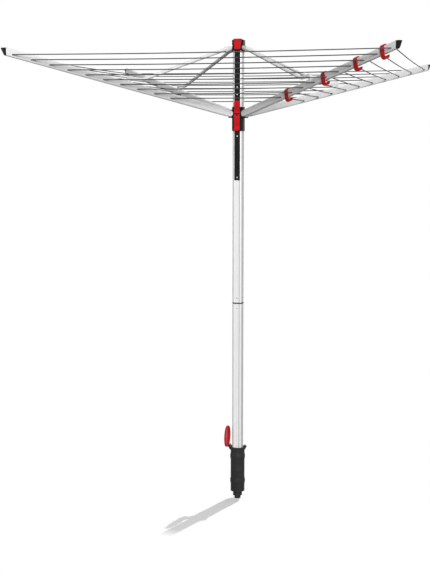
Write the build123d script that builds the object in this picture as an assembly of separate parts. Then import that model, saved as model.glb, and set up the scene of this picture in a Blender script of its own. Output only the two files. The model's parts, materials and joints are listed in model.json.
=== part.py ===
from build123d import *

import itertools
import math
import os

# Rotary clothesline. Millimetres and degrees. Z is up, the face with the rack and the lever looks
# along -Y, and the origin is the middle of the ground socket's tip.

# Four arms, counted from the back right
ARM_COUNT = 4
FIRST_AZIMUTH = 45.0
STEP_ARM = 2
HOOK_ARM = 4

# Clearances
FIT = 0.05
RUN = 0.3
SLIDE = 0.6

# Ground socket
TIP_R = 14.0
TIP_H = 14.5
STEP_R = 21.0
STEP_TOP = 36.0
STEP_TAPER = 2.0
SOCKET_R = 32.0
SOCKET_BORE_R = 28.0
SOCKET_FLOOR = 45.0
SOCKET_TOP = 243.0
RING_BULGE = 2.4
RING_HEIGHT = 30.0
RING_ZS = (84.5, 199.0)
RIM_R = 35.0
RIM_H = 13.0
BUSH_H = 9.0
BUSH_WALL = 3.0
NOSE_REACH = 42.0
NOSE_WIDTH = 14.0
NOSE_RISE = 9.0
NOSE_SLOPE = 8.0

# Lid of the socket, modelled open
LID_R = 49.0
LID_WALL = 2.5
LID_DOME = 6.0
LID_LIP = 6.0
LID_HINGE_X = 40.0
LID_HINGE_RISE = 5.0
LID_PIN_R = 2.0
LID_BARREL_R = 4.6
LID_BARREL_W = 14.0
LUG_W = 5.0

# Mast, a square extrusion with large corners and a shallow channel on each face
MAST_SIZE = 46.0
MAST_CORNER = 13.0
MAST_WALL = 1.8
CHANNEL_W = 25.6
CHANNEL_D = 1.6
MAST_TOP = 2052.0
FOOT_H = 7.0
FOOT_PLUG_H = 40.0
SEAM_Z = 910.5
SEAM_RING_H = 5.0
SEAM_RING_PROUD = 0.4
SLEEVE_HALF = 70.0
SLEEVE_WALL = 2.5
RIVET_OFFSET = 23.0
RIVET_R = 2.0
RIVET_HEAD_R = 3.6
RIVET_HEAD_H = 1.3

# Rack that the hub locks to
RACK_W = 25.0
RACK_PROUD = 2.0
RACK_L = 574.5
RACK_BELOW_TOP = 14.0
RACK_SCREW_IN = 12.0
RACK_SCREW_TOP_IN = 14.7
RACK_BAYS = 3
RACK_UPPER_SCREW = 31.2
TEETH_PER_BAY = 8
TOOTH_W = 10.0
TOOTH_RUNG = 10.0
TOOTH_D = 1.8
RACK_SCREW_R = 1.7
RACK_HEAD_R = 3.3
RACK_HEAD_H = 1.7
RACK_SCREW_END = 1.0

# Fold linkage: the strut and the inner stretch of the arm are equally long between their pins
PIN_R = 47.0
TOP_PIN_BELOW = 10.0
PIN_SPREAD = 284.5
JOINT_R = 540.0
JOINT_UP = 31.28

# Top hub
TOP_HUB_BELOW = 22.0
TOP_HUB_ABOVE = 26.0
TOP_HUB_WALL = 1.5
TOP_HUB_CORNER = 10.0
BAND_PROUD = 1.5
BAND_H = 23.0
BAND_CHAMFER = 1.5
SKIRT_H = 5.0
PLATE_W = 35.0
PLATE_FOOT_W = 27.0
PLATE_T = 4.0
PLATE_UP = 6.0
PLATE_BACK = 22.0

# Struts
STRUT_D = 15.0
STRUT_WALL = 1.2
STRUT_PIN_R = 2.5
FORK_R = 8.5
FORK_SLOT = 7.4
FORK_SLOT_L = 14.0
FORK_L = 26.0
TONGUE_R = 7.0
BEND_IN = 58.0
BEND_DROP = 6.75
BEND_FILLET = 60.0

# Arms
ARM_H = 32.0
ARM_W = 17.0
ARM_CORNER = 6.0
ARM_WALL = 1.4
ARM_GROOVE_W = 2.0
ARM_GROOVE_D = 0.5
ARM_GROOVE_UP = 8.0
ARM_END_PAST = 26.4
ARM_EYE_R = 12.5
ARM_FORK_L = 13.0
ARM_PIN_R = 3.0
CAP_BOTTOM = 3.0
CAP_TOP = 19.0
CAP_FALL = 2.0
CAP_PLUG = 13.0
CAP_WALL = 2.0

# Saddle that joins the strut to the arm
SADDLE_L = 30.0
SADDLE_T = 2.2
SADDLE_SKIRT = 16.0
SADDLE_RIVET_R = 2.0
SADDLE_RIVET_DROP = 9.0
SADDLE_RIVET_PROUD = 1.0

# Clothesline
LINE_D = 3.6
LINE_COUNT = 10
LINE_OUTER_R = 1059.6
LINE_INNER_R = 348.0
LINE_DROP = 6.0
LINE_HOLE_R = 2.5
LINE_BEND = 8.0
LINE_STEP_BEND = 4.5
LINE_STEP_OFFSET = 2.5
LINE_SIDES = 6
STOP_R = 4.5
STOP_H = 3.0

# Hanger hooks, each between two line holes
HOOK_PLACES = (0.59, 2.61, 5.23, 8.46)
HOOK_W = 20.0
HOOK_T = 5.0
HOOK_DROP = 18.0
HOOK_GRIP = 10.0
HOOK_TIP = 1.5
HOOK_CLEAR = 2.0

# Slide hub and its latch
HUB_BELOW = 76.5
HUB_ABOVE = 29.0
HUB_SIZE = 50.0
HUB_CORNER = 8.0
HUB_SHELF_BELOW = 13.5
HUB_SLOT_R = 30.4
HUB_TONGUE_R = 11.0
HUB_TONGUE_H = 18.0
HUB_LIP_R = 50.0
HUB_LIP_H = 6.0
HUB_LIP_CHAMFER = 4.2
CHEEK_T = 3.5
CHEEK_REACH = 33.0
LATCH_W = 25.8
COVER_H = 55.6
COVER_FRONT = 32.5
COVER_SLOPE_H = 20.7
COVER_STUD_R = 2.5
COVER_STUD_UP = 14.4
LEVER_PIN_Y = 29.5
LEVER_PIN_BELOW = 7.1
LEVER_PIN_R = 1.5
LEVER_HALF_T = 3.3
LEVER_LIP = 4.0
LEVER_LIP_H = 5.0
LEVER_LIP_ROUND = 0.5
LEVER_SCOOP_UP = 19.0
LEVER_SCOOP_H = 12.0
LEVER_SCOOP_D = 2.0
SPRING_W = 8.0
SPRING_WIRE = 1.0
PAWL_W = 10.0
PAWL_H = 5.0
PAWL_UP = 30.5
PAWL_L = 4.5

# Sizes that follow from those above
MAST_HALF = MAST_SIZE / 2
MAST_FLOOR = MAST_HALF - CHANNEL_D
MAST_BORE = 2 * (MAST_FLOOR - MAST_WALL)
MAST_BORE_CORNER = MAST_CORNER - MAST_WALL
MAST_FOOT = SOCKET_FLOOR + RUN + FOOT_H
RACK_FRONT = MAST_HALF + RACK_PROUD
RACK_TOP = MAST_TOP - RACK_BELOW_TOP
RACK_BOTTOM = RACK_TOP - RACK_L
RACK_BAY = (RACK_L - RACK_SCREW_IN - RACK_SCREW_TOP_IN) / RACK_BAYS
TOP_PIN_Z = MAST_TOP - TOP_PIN_BELOW
HUB_PIN_Z = TOP_PIN_Z - PIN_SPREAD
JOINT_Z = (TOP_PIN_Z + HUB_PIN_Z) / 2
LINK_L = math.hypot(JOINT_R - PIN_R, JOINT_Z - HUB_PIN_Z)
LINK_RISE = math.atan2(JOINT_Z - HUB_PIN_Z, JOINT_R - PIN_R)
RISE = LINK_RISE - math.asin(JOINT_UP / LINK_L)
ARM_RISE = math.degrees(RISE)
TOP_HUB_BOTTOM = MAST_TOP - TOP_HUB_BELOW
TOP_HUB_TOP = MAST_TOP + TOP_HUB_ABOVE
TOP_HUB_SIZE = MAST_SIZE + 2 * TOP_HUB_WALL
BAND_SIZE = TOP_HUB_SIZE + 2 * BAND_PROUD
PLATE_BOTTOM = TOP_HUB_BOTTOM + PLATE_UP
PLATE_TOP = TOP_HUB_TOP + PLATE_T
HUB_BOTTOM = HUB_PIN_Z - HUB_BELOW
HUB_TOP = HUB_PIN_Z + HUB_ABOVE
HUB_SHELF_Z = HUB_PIN_Z - HUB_SHELF_BELOW
COVER_BOTTOM = HUB_PIN_Z + 2 * FIT
COVER_TOP = COVER_BOTTOM + COVER_H
COVER_STUD_Z = COVER_BOTTOM + COVER_STUD_UP
LEVER_PIN_Z = COVER_BOTTOM - LEVER_PIN_BELOW
LEVER_SCOOP_Z = HUB_BOTTOM + LEVER_SCOOP_UP
LEVER_SCOOP_TOP = LEVER_SCOOP_Z + LEVER_SCOOP_H
PAWL_Z = HUB_BOTTOM + PAWL_UP
BEND_R = JOINT_R - BEND_IN
BEND_Z = JOINT_Z - BEND_DROP
ARM_END_R = LINE_OUTER_R + ARM_END_PAST
LINE_PITCH = (LINE_OUTER_R - LINE_INNER_R) / (LINE_COUNT - 1)
LINE_TURN = 180.0 / ARM_COUNT
ARM_BORE_W = ARM_W - 2 * ARM_WALL
ARM_BORE_H = ARM_H - 2 * ARM_WALL
TONGUE_W = FORK_SLOT - 2 * RUN
LINE_REACH = ARM_W / 2 + LINE_BEND * math.tan(math.radians(LINE_TURN / 2)) + 2 * RUN
LINE_END = ARM_BORE_W / 2 - FIT - STOP_H


def rounded_prism(size, corner, low, high):
    """Square prism with rounded corners about Z."""
    return extrude(Pos(0, 0, low) * RectangleRounded(size, size, corner), amount=high - low)


def block(x, y, z):
    """Box between the low and high values of each axis."""
    size = [side[1] - side[0] for side in (x, y, z)]
    middle = [(side[0] + side[1]) / 2 for side in (x, y, z)]
    return Pos(*middle) * Box(*size)


def rod_y(radius, length, x=0.0, y=0.0, z=0.0):
    """Round rod along Y."""
    return Pos(x, y, z) * Rot(90, 0, 0) * Cylinder(radius, length)


def rod_x(radius, length, x=0.0, y=0.0, z=0.0):
    """Round rod along X."""
    return Pos(x, y, z) * Rot(0, 90, 0) * Cylinder(radius, length)


def rod_z(radius, low, high):
    """Round rod along Z."""
    return Pos(0, 0, (low + high) / 2) * Cylinder(radius, high - low)


def azimuth(number):
    return FIRST_AZIMUTH + (number - 1) * 360.0 / ARM_COUNT


def at_arm(number, shape):
    """Turn a piece that is drawn along +X to where the arm of that number stands."""
    return Rot(0, 0, azimuth(number)) * shape


def at_each_arm(shape):
    return [at_arm(number, shape) for number in range(1, ARM_COUNT + 1)]


# Places along an arm: local x runs out along the arm's middle line, from the hub pin
ALONG_ARM = Pos(PIN_R, 0, HUB_PIN_Z) * Rot(0, -ARM_RISE, 0)


def arm_point(out, up):
    """Radius and height of a point that lies out along the arm and up from its middle line."""
    radius = PIN_R + out * math.cos(RISE) - up * math.sin(RISE)
    height = HUB_PIN_Z + out * math.sin(RISE) + up * math.cos(RISE)
    return radius, height


def out_along_arm(radius, up):
    """How far out along the arm a point of that radius lies."""
    return (radius - PIN_R + up * math.sin(RISE)) / math.cos(RISE)


def line_radius(loop):
    return LINE_OUTER_R - loop * LINE_PITCH


def line_out(loop):
    return out_along_arm(line_radius(loop), -LINE_DROP)


# Ground socket and lid
def ground_socket():
    body = rod_z(TIP_R, 0, TIP_H)
    body += Pos(0, 0, TIP_H) * extrude(Circle(STEP_R), amount=STEP_TOP - TIP_H, taper=STEP_TAPER)
    body += rod_z(SOCKET_R, STEP_TOP, SOCKET_TOP)
    body += rod_z(RIM_R, SOCKET_TOP - RIM_H, SOCKET_TOP)
    for z in RING_ZS:
        with BuildSketch(Plane.XZ) as swell:
            with BuildLine():
                Line((0, z - RING_HEIGHT / 2), (SOCKET_R, z - RING_HEIGHT / 2))
                ThreePointArc(
                    (SOCKET_R, z - RING_HEIGHT / 2),
                    (SOCKET_R + RING_BULGE, z),
                    (SOCKET_R, z + RING_HEIGHT / 2),
                )
                Line((SOCKET_R, z + RING_HEIGHT / 2), (0, z + RING_HEIGHT / 2))
                Line((0, z + RING_HEIGHT / 2), (0, z - RING_HEIGHT / 2))
            make_face()
        body += revolve(swell.sketch, axis=Axis.Z)
    hinge_z = SOCKET_TOP + LID_HINGE_RISE
    lug_span = LID_BARREL_W + 2 * RUN + 2 * LUG_W
    with BuildSketch(Plane.XZ) as lug:
        with BuildLine():
            Polyline(
                (-SOCKET_R, SOCKET_TOP - RIM_H),
                (-SOCKET_R, hinge_z),
                (-LID_HINGE_X, hinge_z),
                (-LID_HINGE_X - LID_BARREL_R / 2, hinge_z - LID_BARREL_R * math.sqrt(3) / 2),
                (-RIM_R, SOCKET_TOP - RIM_H),
                close=True,
            )
        make_face()
    lugs = extrude(lug.sketch, amount=lug_span / 2, both=True)
    lugs += rod_y(LID_BARREL_R, lug_span, -LID_HINGE_X, 0, hinge_z)
    reach = LID_BARREL_R + RUN
    lugs -= block(
        (-LID_HINGE_X - reach, -LID_HINGE_X + reach),
        (-LID_BARREL_W / 2 - RUN, LID_BARREL_W / 2 + RUN),
        (SOCKET_TOP - RIM_H, hinge_z + reach),
    )
    body += lugs
    with BuildSketch(Plane.XZ) as nose:
        with BuildLine():
            Polyline(
                (SOCKET_R, SOCKET_TOP - RIM_H),
                (NOSE_REACH - NOSE_SLOPE, SOCKET_TOP - RIM_H),
                (NOSE_REACH, SOCKET_TOP + NOSE_RISE - NOSE_SLOPE),
                (SOCKET_R + BUSH_WALL, SOCKET_TOP + NOSE_RISE),
                (SOCKET_R, SOCKET_TOP + NOSE_RISE),
                close=True,
            )
        make_face()
    body += extrude(nose.sketch, amount=NOSE_WIDTH / 2, both=True)
    body -= rod_z(SOCKET_BORE_R, SOCKET_FLOOR, SOCKET_TOP + NOSE_RISE)
    body -= rod_z(SOCKET_BORE_R + BUSH_WALL, SOCKET_TOP - BUSH_H, SOCKET_TOP + NOSE_RISE)
    body -= rod_y(LID_PIN_R + FIT, 2 * lug_span, -LID_HINGE_X, 0, hinge_z)
    return body


def socket_bush():
    bush = rod_z(SOCKET_BORE_R + BUSH_WALL - FIT, SOCKET_TOP - BUSH_H, SOCKET_TOP)
    return bush - rod_z(SOCKET_BORE_R - RUN, SOCKET_TOP - BUSH_H, SOCKET_TOP)


def lid_hinge_pin():
    length = LID_BARREL_W + 2 * RUN + 2 * LUG_W
    return rod_y(LID_PIN_R, length, -LID_HINGE_X, 0, SOCKET_TOP + LID_HINGE_RISE)


def dome_middle(reach, rise):
    """Point halfway out on a round dome's outline."""
    sphere_r = (reach**2 + rise**2) / (2 * rise)
    out = reach / 2
    return out, math.sqrt(sphere_r**2 - out**2) - sphere_r + rise


def socket_lid():
    """Shallow dome with a lip, drawn closed about its hinge and then stood up."""
    inner = dome_middle(LID_R - LID_WALL, LID_DOME - LID_WALL)
    outer = dome_middle(LID_R, LID_DOME - LID_WALL / 2)
    with BuildSketch(Plane.XZ) as half:
        with BuildLine():
            Line((0, LID_DOME), (0, LID_DOME - LID_WALL))
            ThreePointArc(
                (0, LID_DOME - LID_WALL),
                inner,
                (LID_R - LID_WALL, 0),
            )
            Line((LID_R - LID_WALL, 0), (LID_R - LID_WALL, -LID_LIP))
            Line((LID_R - LID_WALL, -LID_LIP), (LID_R, -LID_LIP))
            Line((LID_R, -LID_LIP), (LID_R, LID_WALL / 2))
            ThreePointArc(
                (LID_R, LID_WALL / 2),
                (outer[0], outer[1] + LID_WALL / 2),
                (0, LID_DOME),
            )
        make_face()
    lift = LID_BARREL_R + RUN + LID_LIP
    lid = Pos(LID_HINGE_X, 0, lift) * revolve(half.sketch, axis=Axis.Z)
    tab = block((-LID_WALL, LID_WALL), (-LID_BARREL_W / 2, LID_BARREL_W / 2), (0, lift + LID_WALL / 2))
    tab += rod_y(LID_BARREL_R, LID_BARREL_W)
    lid += tab
    lid -= rod_y(LID_PIN_R + FIT, 2 * LID_BARREL_W)
    return Pos(-LID_HINGE_X, 0, SOCKET_TOP + LID_HINGE_RISE) * Rot(0, -90, 0) * lid


# Mast
def mast_section():
    section = RectangleRounded(MAST_SIZE, MAST_SIZE, MAST_CORNER)
    for turn in range(4):
        section -= Rot(0, 0, 90 * turn) * Pos(MAST_HALF - CHANNEL_D / 2, 0) * Rectangle(CHANNEL_D, CHANNEL_W)
    return section


def mast_tube(low, high):
    tube = extrude(Pos(0, 0, low) * mast_section(), amount=high - low)
    return tube - rounded_prism(MAST_BORE, MAST_BORE_CORNER, low, high)


def joint_rivet_rods(radius):
    rods = []
    for z in (SEAM_Z - RIVET_OFFSET, SEAM_Z + RIVET_OFFSET):
        rods.append(rod_y(radius, 2 * MAST_SIZE, 0, 0, z))
    return rods


def rack_screw_zs():
    """A screw at the foot of each bay, and one more at the foot of the upper length."""
    feet = [RACK_BOTTOM + RACK_SCREW_IN + number * RACK_BAY for number in range(RACK_BAYS)]
    return feet + [feet[-1] + RACK_UPPER_SCREW]


def rack_screw_rods(radius):
    return [rod_y(radius, MAST_HALF, 0, -MAST_HALF, z) for z in rack_screw_zs()]


def lower_mast_tube():
    return mast_tube(MAST_FOOT, SEAM_Z - SEAM_RING_H / 2) - joint_rivet_rods(RIVET_R + FIT)


def upper_mast_tube():
    tube = mast_tube(SEAM_Z + SEAM_RING_H / 2, MAST_TOP) - joint_rivet_rods(RIVET_R + FIT)
    return tube - rack_screw_rods(RACK_SCREW_R + FIT)


def mast_foot_plug():
    foot = rod_z(SOCKET_BORE_R - RUN, MAST_FOOT - FOOT_H, MAST_FOOT)
    plug = rounded_prism(MAST_BORE - 2 * FIT, MAST_BORE_CORNER - FIT, MAST_FOOT, MAST_FOOT + FOOT_PLUG_H)
    return foot + plug


def mast_joint_sleeve():
    low, high = SEAM_Z - SLEEVE_HALF, SEAM_Z + SLEEVE_HALF
    sleeve = rounded_prism(MAST_BORE - 2 * FIT, MAST_BORE_CORNER - FIT, low, high)
    hollow = MAST_BORE - 2 * FIT - 2 * SLEEVE_WALL
    sleeve -= rounded_prism(hollow, MAST_BORE_CORNER - FIT - SLEEVE_WALL, low, high)
    return sleeve - joint_rivet_rods(RIVET_R + FIT)


def mast_joint_ring():
    low, high = SEAM_Z - SEAM_RING_H / 2, SEAM_Z + SEAM_RING_H / 2
    ring = rounded_prism(MAST_SIZE + 2 * SEAM_RING_PROUD, MAST_CORNER + SEAM_RING_PROUD, low, high)
    return ring - rounded_prism(MAST_BORE, MAST_BORE_CORNER, low, high)


def joint_rivets():
    """Blind rivets on the front and the back of the joint, with low round heads in the channel."""
    rivets = []
    shank = MAST_WALL + SLEEVE_WALL + FIT
    for side in (-1, 1):
        for z in (SEAM_Z - RIVET_OFFSET, SEAM_Z + RIVET_OFFSET):
            rivet = rod_y(RIVET_R, shank, 0, side * (MAST_FLOOR - shank / 2), z)
            rivet += rod_y(RIVET_HEAD_R, RIVET_HEAD_H, 0, side * (MAST_FLOOR + RIVET_HEAD_H / 2), z)
            rivets.append(rivet)
    return rivets


def height_rack():
    rack = block((-RACK_W / 2, RACK_W / 2), (-RACK_FRONT, -MAST_FLOOR), (RACK_BOTTOM, RACK_TOP))
    long_edges = rack.edges().filter_by(Axis.Z).group_by(Axis.Y)[0]
    rack = chamfer(long_edges, RACK_PROUD / 2)
    pitch = RACK_BAY / TEETH_PER_BAY
    half = (pitch - TOOTH_RUNG) / 2
    for number in range(RACK_BAYS * TEETH_PER_BAY):
        middle = rack_screw_zs()[0] + (number + 0.5) * pitch
        if min(abs(middle - z) for z in rack_screw_zs()) < half:
            continue
        rack -= block(
            (-TOOTH_W / 2, TOOTH_W / 2),
            (-RACK_FRONT, -RACK_FRONT + TOOTH_D),
            (middle - half, middle + half),
        )
    rack -= rack_screw_rods(RACK_SCREW_R + FIT)
    for z in rack_screw_zs():
        depth = RACK_HEAD_H + FIT
        rack -= rod_y(RACK_HEAD_R + FIT, depth, 0, -RACK_FRONT + depth / 2, z)
    return rack


def rack_screws():
    screws = []
    seat = RACK_FRONT - RACK_HEAD_H - FIT
    end = MAST_FLOOR - MAST_WALL - RACK_SCREW_END
    for z in rack_screw_zs():
        screw = rod_y(RACK_HEAD_R, RACK_HEAD_H, 0, -seat - RACK_HEAD_H / 2, z)
        screw += rod_y(RACK_SCREW_R, seat - end, 0, -(seat + end) / 2, z)
        screws.append(screw)
    return screws


# Top hub
def top_hub():
    hub = rounded_prism(TOP_HUB_SIZE, TOP_HUB_CORNER, TOP_HUB_BOTTOM, TOP_HUB_TOP)
    band = rounded_prism(BAND_SIZE, TOP_HUB_CORNER, TOP_HUB_TOP - BAND_H, TOP_HUB_TOP)
    hub += chamfer(band.faces().sort_by(Axis.Z)[-1].edges(), BAND_CHAMFER)
    hub += rounded_prism(BAND_SIZE, TOP_HUB_CORNER, TOP_HUB_BOTTOM, TOP_HUB_BOTTOM + SKIRT_H)
    tongue_z = (TOP_PIN_Z - TONGUE_R, TOP_PIN_Z + TONGUE_R)
    tongue = block((MAST_HALF, PIN_R), (-TONGUE_W / 2, TONGUE_W / 2), tongue_z)
    tongue += rod_y(TONGUE_R, TONGUE_W, PIN_R, 0, TOP_PIN_Z)
    tongue -= rod_y(STRUT_PIN_R + FIT, TONGUE_W, PIN_R, 0, TOP_PIN_Z)
    hub += at_each_arm(tongue)
    hub -= rounded_prism(MAST_SIZE + 2 * FIT, MAST_CORNER + FIT, TOP_HUB_BOTTOM, MAST_TOP)
    hub -= extrude(plate_front(TOP_HUB_BOTTOM, TOP_HUB_TOP, FIT), amount=BAND_SIZE, dir=(0, -1, 0))
    rack_room = RACK_W / 2 + FIT
    hub -= block((-rack_room, rack_room), (-BAND_SIZE, -MAST_FLOOR), (TOP_HUB_BOTTOM, RACK_TOP + FIT))
    return hub


def plate_front(low, high, room):
    """Front face of the cover plate between two heights, with some room at its sides; it narrows downwards."""
    def corner(side, z):
        share = (z - PLATE_BOTTOM) / (PLATE_TOP - PLATE_BOTTOM)
        half = (PLATE_FOOT_W + (PLATE_W - PLATE_FOOT_W) * share) / 2 + room
        return (side * half, -RACK_FRONT, z)

    corners = [corner(-1, low), corner(1, low), corner(1, high), corner(-1, high)]
    return Face(Wire.make_polygon(corners))


def top_cover_plate():
    """Red plate down the front of the hub, with a flap over its top."""
    plate = extrude(plate_front(PLATE_BOTTOM, PLATE_TOP, 0), amount=PLATE_T, dir=(0, -1, 0))
    plate += extrude(plate_front(TOP_HUB_TOP, PLATE_TOP, 0), amount=PLATE_BACK, dir=(0, 1, 0))
    front_face = plate.faces().sort_by(Axis.Y)[0]
    return fillet(front_face.edges(), PLATE_T / 2)


def strut_top_pins():
    length = STRUT_D + 2 * FIT
    return at_each_arm(rod_y(STRUT_PIN_R, length, PIN_R, 0, TOP_PIN_Z))


# Struts
def fork_end(x, z, toward_x, toward_z):
    """Flat fork of a strut: a round eye at the pin that narrows to the tube."""
    angle = math.degrees(math.atan2(toward_z - z, toward_x - x))
    with BuildSketch(Plane.XZ) as side:
        with BuildLine():
            ThreePointArc((0, FORK_R), (-FORK_R, 0), (0, -FORK_R))
            Line((0, -FORK_R), (FORK_L, -STRUT_D / 2))
            Line((FORK_L, -STRUT_D / 2), (FORK_L, STRUT_D / 2))
            Line((FORK_L, STRUT_D / 2), (0, FORK_R))
        make_face()
    fork = extrude(side.sketch, amount=STRUT_D / 2, both=True)
    slot = block((-2 * FORK_R, FORK_SLOT_L), (-FORK_SLOT / 2, FORK_SLOT / 2), (-2 * FORK_R, 2 * FORK_R))
    hole = rod_y(STRUT_PIN_R + FIT, 2 * STRUT_D)
    place = Pos(x, 0, z) * Rot(0, -angle, 0)
    return place * fork, place * (slot + hole)


def strut():
    """Tube that runs straight down from the top hub and levels out to its foot on the arm."""
    corners = ((PIN_R, 0, TOP_PIN_Z), (BEND_R, 0, BEND_Z), (JOINT_R, 0, JOINT_Z))
    path = FilletPolyline(*corners, radius=BEND_FILLET)
    start = Plane(origin=path @ 0, z_dir=path % 0)
    tube = sweep(start * Circle(STRUT_D / 2), path=path)
    bore = sweep(start * Circle(STRUT_D / 2 - STRUT_WALL), path=path)
    top_fork, top_cut = fork_end(PIN_R, TOP_PIN_Z, BEND_R, BEND_Z)
    foot_fork, foot_cut = fork_end(JOINT_R, JOINT_Z, BEND_R, BEND_Z)
    return tube + top_fork + foot_fork - bore - top_cut - foot_cut


# Arms
def arm_bar(width, height, corner, low, high):
    """Rounded bar along the arm."""
    return Pos(low, 0, 0) * extrude(Plane.YZ * RectangleRounded(width, height, corner), amount=high - low)


def slanted(bar, radius, lean):
    """Cut a bar, drawn along the arm, at a plane through that radius on its middle line."""
    out = out_along_arm(radius, 0)
    blade = Pos(out, 0, 0) * Rot(0, lean, 0) * block((0, 4 * ARM_H), (-ARM_W, ARM_W), (-2 * ARM_H, 2 * ARM_H))
    return bar - blade


def joint_place():
    """Where the strut's foot pin lies along the arm and above its middle line."""
    run, climb = JOINT_R - PIN_R, JOINT_Z - HUB_PIN_Z
    out = run * math.cos(RISE) + climb * math.sin(RISE)
    up = climb * math.cos(RISE) - run * math.sin(RISE)
    return out, up


def saddle_rivet_hole():
    out, _ = joint_place()
    return rod_y(SADDLE_RIVET_R + FIT, 2 * ARM_W, out, 0, ARM_H / 2 - SADDLE_RIVET_DROP)


def arm():
    length = out_along_arm(ARM_END_R, 0) + ARM_H
    bar = arm_bar(ARM_W, ARM_H, ARM_CORNER, -ARM_EYE_R, length)
    bar -= arm_bar(ARM_BORE_W, ARM_BORE_H, ARM_CORNER - ARM_WALL, -ARM_EYE_R, length)
    bar = slanted(bar, ARM_END_R, ARM_RISE)
    for side in (-1, 1):
        face = side * ARM_W / 2
        bar -= block(
            (0, length),
            (face - ARM_GROOVE_D, face + ARM_GROOVE_D),
            (ARM_GROOVE_UP - ARM_GROOVE_W / 2, ARM_GROOVE_UP + ARM_GROOVE_W / 2),
        )
    fork = block((-2 * ARM_EYE_R, ARM_FORK_L), (-ARM_W, ARM_W), (-ARM_H, ARM_H))
    fork -= rod_y(ARM_EYE_R, 3 * ARM_W)
    fork -= block((0, ARM_FORK_L), (-2 * ARM_W, 2 * ARM_W), (-ARM_EYE_R, ARM_EYE_R))
    bar -= fork
    half_bore = ARM_BORE_W / 2
    bar -= block((-2 * ARM_EYE_R, ARM_FORK_L), (-half_bore, half_bore), (-ARM_H, ARM_H))
    bar -= rod_y(ARM_PIN_R + FIT, 2 * ARM_W)
    holes = [rod_y(LINE_HOLE_R, 2 * ARM_W, line_out(loop), 0, -LINE_DROP) for loop in range(LINE_COUNT)]
    return ALONG_ARM * (bar - holes - saddle_rivet_hole())


def arm_end_cap():
    """Moulded cap with a level top and a nose that slopes back below it, on a hollow plug."""
    out = out_along_arm(ARM_END_R, 0)
    top = ARM_H / 2
    nose = arm_bar(ARM_W, ARM_H, ARM_CORNER, out - ARM_H, out + CAP_TOP + ARM_H)
    lean = math.degrees(math.atan2(CAP_TOP - CAP_BOTTOM, ARM_H)) + ARM_RISE
    nose = slanted(nose, ARM_END_R + (CAP_TOP + CAP_BOTTOM) / 2, lean)
    inner_end = arm_bar(2 * ARM_W, 2 * ARM_H, ARM_CORNER, out - 2 * ARM_H, out + ARM_H)
    nose -= slanted(inner_end, ARM_END_R, ARM_RISE)
    level = Pos(out + top * math.tan(RISE), 0, top - CAP_FALL) * Rot(0, ARM_RISE, 0)
    nose -= level * block((-ARM_H, 2 * ARM_H), (-ARM_W, ARM_W), (0, ARM_H))
    outer = nose.faces().sort_by(Axis.X)[-1]
    nose = fillet(outer.edges(), CAP_WALL)
    width, height = ARM_BORE_W - 2 * FIT, ARM_BORE_H - 2 * FIT
    corner = ARM_CORNER - ARM_WALL - FIT
    ends = (out - CAP_PLUG, out + ARM_H)
    plug = slanted(arm_bar(width, height, corner, *ends), ARM_END_R + CAP_BOTTOM / 3, ARM_RISE)
    hollow = arm_bar(width - 2 * CAP_WALL, height - 2 * CAP_WALL, corner - CAP_WALL, *ends)
    plug -= slanted(hollow, ARM_END_R - CAP_WALL, ARM_RISE)
    return ALONG_ARM * (nose + plug)


def strut_bracket():
    """Saddle over the arm with one upright tongue for the strut's fork."""
    out, up = joint_place()
    half_in = ARM_W / 2 + FIT
    half_out = half_in + SADDLE_T
    top = ARM_H / 2 + FIT
    ends = (out - SADDLE_L / 2, out + SADDLE_L / 2)
    skirt_end = ARM_H / 2 - SADDLE_SKIRT
    saddle = arm_bar(2 * half_out, 2 * (top + SADDLE_T), ARM_CORNER + SADDLE_T, *ends)
    saddle -= arm_bar(2 * half_in, 2 * top, ARM_CORNER + FIT, *ends)
    saddle -= block(ends, (-2 * ARM_W, 2 * ARM_W), (-2 * ARM_H, skirt_end))
    tongue = block((out - TONGUE_R, out + TONGUE_R), (-TONGUE_W / 2, TONGUE_W / 2), (top + SADDLE_T / 2, up))
    tongue += rod_y(TONGUE_R, TONGUE_W, out, 0, up)
    tongue -= rod_y(STRUT_PIN_R + FIT, TONGUE_W, out, 0, up)
    return ALONG_ARM * (saddle + tongue - saddle_rivet_hole())


def strut_bracket_pins():
    """Pin of the strut's foot, and the rivet that holds the saddle on the arm."""
    out, up = joint_place()
    pin = rod_y(STRUT_PIN_R, STRUT_D + 2 * FIT, out, 0, up)
    rivet_length = ARM_W + 2 * SADDLE_T + 2 * SADDLE_RIVET_PROUD
    rivet = rod_y(SADDLE_RIVET_R, rivet_length, out, 0, ARM_H / 2 - SADDLE_RIVET_DROP)
    return [ALONG_ARM * pin, ALONG_ARM * rivet]


# Clothesline
def line_route():
    """Corners and bend radii of one line: ten level loops, stepping inwards inside one arm."""
    points, bends = [], []

    def add(number, radius, across, height, bend):
        turn = math.radians(azimuth(number))
        x = radius * math.cos(turn) - across * math.sin(turn)
        y = radius * math.sin(turn) + across * math.cos(turn)
        points.append((x, y, height))
        bends.append(bend)

    others = [(STEP_ARM + step - 1) % ARM_COUNT + 1 for step in range(1, ARM_COUNT)]
    for loop in range(LINE_COUNT):
        radius, height = arm_point(line_out(loop), -LINE_DROP)
        if loop == 0:
            add(STEP_ARM, radius, LINE_END, height, 0)
        else:
            add(STEP_ARM, radius, LINE_STEP_OFFSET, height, LINE_STEP_BEND)
        add(STEP_ARM, radius, LINE_REACH, height, LINE_BEND)
        for number in others:
            add(number, radius, -LINE_REACH, height, LINE_BEND)
            add(number, radius, LINE_REACH, height, LINE_BEND)
        add(STEP_ARM, radius, -LINE_REACH, height, LINE_BEND)
        if loop < LINE_COUNT - 1:
            add(STEP_ARM, radius, -LINE_STEP_OFFSET, height, LINE_STEP_BEND)
        else:
            add(STEP_ARM, radius, -LINE_END, height, 0)
    return points, bends[1:-1]


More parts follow.
